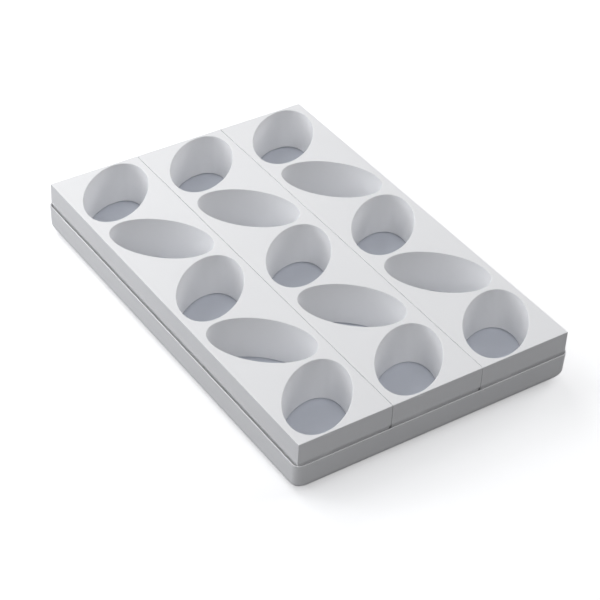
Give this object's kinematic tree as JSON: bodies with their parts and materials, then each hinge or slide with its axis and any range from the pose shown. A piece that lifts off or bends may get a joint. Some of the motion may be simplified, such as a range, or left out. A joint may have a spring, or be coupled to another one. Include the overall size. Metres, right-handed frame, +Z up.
{
  "type": "egg holder tray",
  "caption": "White egg holder: slabs with slanted oval pockets stand side by side in a shallow round-edged tray and lift out singly.",
  "frame": {"origin": "on the surface that the tray's foot ring stands on, under the middle of the tray", "axes": "+X across the pocket strips, +Y along them (the long side), +Z up out of the pockets"},
  "size_m": [0.2036, 0.304, 0.0375],
  "materials": {
    "tray_plastic": "injection-moulded white, fine satin",
    "liner_plastic": "pale blue-grey sheet, matt",
    "strip_plastic": "injection-moulded white, fine satin"
  },
  "bodies": {
    "tray": {"tray": "tray_plastic", "tray_liner": "liner_plastic"},
    "strip_left": {"pocket_strip_left": "strip_plastic"},
    "strip_middle": {"pocket_strip_middle": "strip_plastic"},
    "strip_right": {"pocket_strip_right": "strip_plastic"}
  },
  "joints": [
    {"name": "lift_strip_left", "type": "slide", "parent": "tray", "child": "strip_left", "axis": [0, 0, 1], "range_m": [0, 0.06]},
    {"name": "lift_strip_middle", "type": "slide", "parent": "tray", "child": "strip_middle", "axis": [0, 0, 1], "range_m": [0, 0.06]},
    {"name": "lift_strip_right", "type": "slide", "parent": "tray", "child": "strip_right", "axis": [0, 0, 1], "range_m": [0, 0.06]}
  ]
}
